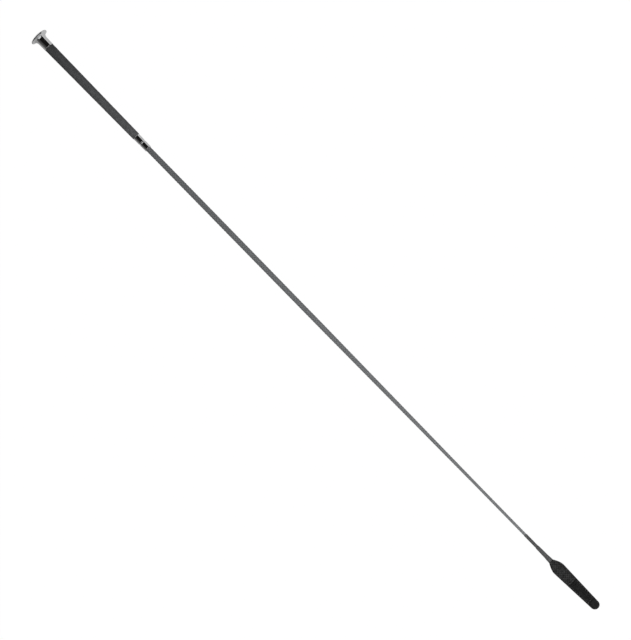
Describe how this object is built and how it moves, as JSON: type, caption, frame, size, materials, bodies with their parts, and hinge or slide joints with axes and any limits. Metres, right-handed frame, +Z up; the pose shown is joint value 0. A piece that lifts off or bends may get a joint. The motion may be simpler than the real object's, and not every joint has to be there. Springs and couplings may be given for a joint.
{
  "type": "dressage whip",
  "caption": "Long dressage whip: chromed mushroom cap, tapered grip, ferrule, braided tapered shaft, thread whipping and a flat stitched popper that bends at its root.",
  "frame": {"origin": "under the middle of the whip, on the surface that it lies on", "axes": "+X along the whip from the cap to the popper, +Z up, +Y across the flat popper. The rod leans 0.6 degrees down towards the popper, because the whip rests on its cap's rim, the end of its whipping and the popper's nose"},
  "size_m": [1.1, 0.0264, 0.0266],
  "materials": {
    "polished_chrome": "mirror-bright plated, turned",
    "plain_steel": "turned, unplated",
    "hardwood": "sawn and drilled, glued in",
    "black_plastic": "moulded",
    "grip_rubber": "fine matt grain",
    "glass_fibre": "pultruded rod, ground to its taper",
    "braided_nylon": "tight satin braid, lacquered",
    "binding_thread": "waxed thread, close turns",
    "popper_webbing": "fine flat weave",
    "popper_braid": "coarse flat braid",
    "sewing_thread": "bonded thread, running stitch"
  },
  "bodies": {
    "rod": {"cap_crown": "polished_chrome", "cap_stud": "plain_steel", "cap_collar": "polished_chrome", "cap_plug": "hardwood", "handle_former": "black_plastic", "grip_sleeve": "grip_rubber", "ferrule": "polished_chrome", "core_rod": "glass_fibre", "shaft_braid": "braided_nylon", "tip_wrap": "binding_thread", "neck_whipping": "binding_thread", "popper_tails": "popper_webbing"},
    "popper": {"popper_core": "popper_webbing", "popper_upper_face": "popper_webbing", "popper_lower_face": "popper_webbing", "popper_base_cover": "popper_braid", "cover_stitches": "sewing_thread", "edge_stitches": "sewing_thread"}
  },
  "joints": [
    {"name": "popper_bend", "type": "hinge", "parent": "rod", "child": "popper", "pos_m": [0.46027, 0, 0.00278], "axis": [0, -1, 0], "range_deg": [0, 80], "stiffness_Nm_per_rad": 0.06}
  ]
}
